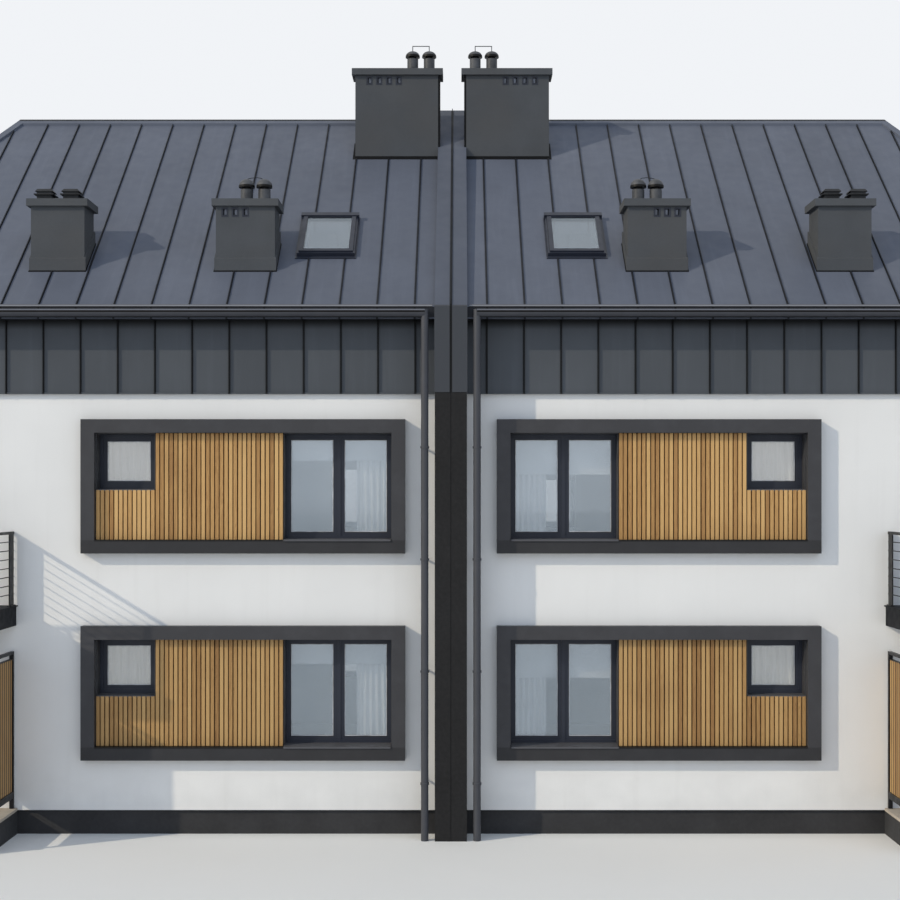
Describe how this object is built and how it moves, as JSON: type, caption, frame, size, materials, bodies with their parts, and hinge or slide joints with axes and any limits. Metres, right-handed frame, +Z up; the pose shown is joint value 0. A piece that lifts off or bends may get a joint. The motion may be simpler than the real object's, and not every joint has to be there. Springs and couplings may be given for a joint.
{
  "type": "terraced house row",
  "caption": "Mirrored pair of two-storey houses under a hipped metal roof, with party wall, framed window bands, chimneys and balconies.",
  "frame": {"origin": "foot of the party wall's centre line on the front wall's outer plane, at ground level", "axes": "+X along the front to the right, +Y from the front into the building, +Z up"},
  "size_m": [19.76, 10.274, 12.259],
  "materials": {
    "render": "white fine-grained render",
    "base": "dark plinth render",
    "pier": "near-black render",
    "concrete": "plain concrete and screed",
    "roof_metal": "matt coated standing-seam sheet",
    "cladding_metal": "matt coated standing-seam sheet",
    "gutter_metal": "satin coated steel",
    "surround_metal": "matt powder coat",
    "frame_metal": "satin powder coat",
    "chimney_render": "fine-grained grey render",
    "rail_steel": "satin black paint",
    "balcony_metal": "matt coated sheet",
    "timber": "oiled golden-brown slats",
    "glass": "clear double glazing"
  },
  "bodies": {
    "root": {"ground_floor": "concrete", "upper_floor": "concrete", "attic_floor": "concrete", "party_wall": "pier", "party_capping": "cladding_metal", "plinth_left": "base", "plinth_right": "base", "front_wall_left": "render", "front_wall_right": "render", "back_wall_left": "render", "back_wall_right": "render", "end_wall_left": "render", "end_wall_right": "render", "cladding_left": "cladding_metal", "cladding_right": "cladding_metal", "front_roof_left": "roof_metal", "front_roof_right": "roof_metal", "back_roof_left": "roof_metal", "back_roof_right": "roof_metal", "hip_roof_left": "roof_metal", "hip_roof_right": "roof_metal", "roof_ridges": "roof_metal", "gutter_left": "gutter_metal", "gutter_right": "gutter_metal", "downpipes": "gutter_metal", "front_surrounds": "surround_metal", "back_surrounds": "surround_metal", "front_panels": "timber", "back_panels": "timber", "front_windows": "frame_metal", "back_windows": "frame_metal", "front_glass": "glass", "back_glass": "glass", "window_sills": "surround_metal", "ridge_chimneys": "chimney_render", "mid_chimneys": "chimney_render", "outer_chimneys": "chimney_render", "chimney_caps": "gutter_metal", "flue_pots": "frame_metal", "skylights": "frame_metal", "skylight_glass": "glass", "balcony_slabs": "balcony_metal", "balcony_railings": "rail_steel", "terraces": "concrete", "terrace_screens": "rail_steel"}
  },
  "joints": []
}
